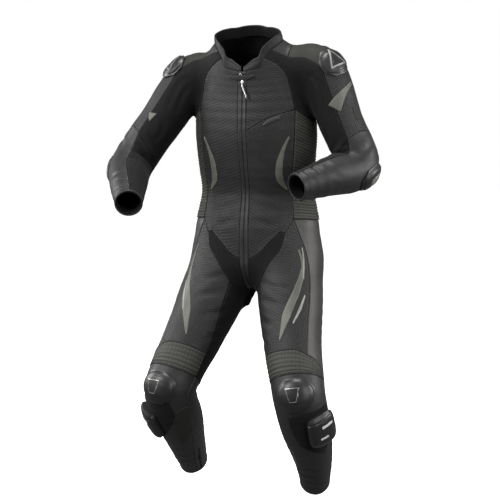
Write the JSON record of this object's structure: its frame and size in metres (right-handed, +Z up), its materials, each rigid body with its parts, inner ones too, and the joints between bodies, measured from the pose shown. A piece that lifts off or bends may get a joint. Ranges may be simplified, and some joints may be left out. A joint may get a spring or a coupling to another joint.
{
  "type": "motorcycle race suit",
  "caption": "Worn one-piece leather motorcycle race suit, hollow, with ribbed stretch panels, hard shoulder, elbow and knee cups, knee sliders and a front zip with a hinged pull.",
  "frame": {"origin": "centre of the neck base, where the wearer's shoulders carry the suit", "axes": "+X towards the wearer's left, -Y towards the front, +Z up"},
  "size_m": [0.8294, 0.4858, 1.4081],
  "materials": {
    "leather": "charcoal grained cowhide, semi-matt",
    "perforated": "charcoal cowhide with fine diamond perforation",
    "stretch": "black aramid stretch knit",
    "mesh": "grey ribbed and textured panel",
    "grey": "warm grey smooth cowhide",
    "trim": "light grey hatched trim",
    "shell": "black moulded shell",
    "metal": "bright zip metal"
  },
  "bodies": {
    "suit": {"side_ribs_left": "mesh", "groin_stretch_left": "stretch", "yoke_left": "leather", "shoulder_mesh_left": "mesh", "sleeve_outer_left": "perforated", "sleeve_stretch_left": "stretch", "sleeve_back_left": "leather", "forearm_outer_left": "leather", "forearm_under_left": "leather", "forearm_inner_left": "stretch", "thigh_front_left": "perforated", "thigh_outer_left": "grey", "thigh_inner_left": "stretch", "thigh_back_left": "leather", "knee_ribs_left": "mesh", "shin_front_left": "leather", "calf_outer_left": "leather", "calf_inner_left": "leather", "side_ribs_right": "mesh", "groin_stretch_right": "stretch", "yoke_right": "leather", "shoulder_mesh_right": "mesh", "sleeve_outer_right": "perforated", "sleeve_stretch_right": "stretch", "sleeve_back_right": "leather", "forearm_outer_right": "leather", "forearm_under_right": "leather", "forearm_inner_right": "stretch", "thigh_front_right": "perforated", "thigh_outer_right": "grey", "thigh_inner_right": "stretch", "thigh_back_right": "leather", "knee_ribs_right": "mesh", "shin_front_right": "leather", "calf_outer_right": "leather", "calf_inner_right": "leather", "front_zip": "leather", "front_right": "perforated", "chest_left": "perforated", "front_left": "perforated", "back_upper": "leather", "back_lower": "leather", "seat": "leather", "shoulder_cup_left": "shell", "elbow_cup_left": "shell", "knee_cup_left": "shell", "knee_slider_left": "shell", "thigh_trim_left": "trim", "side_trim_left": "trim", "shoulder_cup_right": "shell", "elbow_cup_right": "shell", "knee_cup_right": "shell", "knee_slider_right": "shell", "thigh_trim_right": "trim", "side_trim_right": "trim", "collar_stand": "leather", "collar_tab": "leather", "zip_slider": "metal"},
    "pull": {"zip_pull": "metal"}
  },
  "joints": [
    {"name": "pull_swing", "type": "hinge", "parent": "suit", "child": "pull", "pos_m": [0.00143, -0.07309, -0.10757], "axis": [-0.9272, -0.0468, -0.3717], "range_deg": [0, 90]}
  ]
}
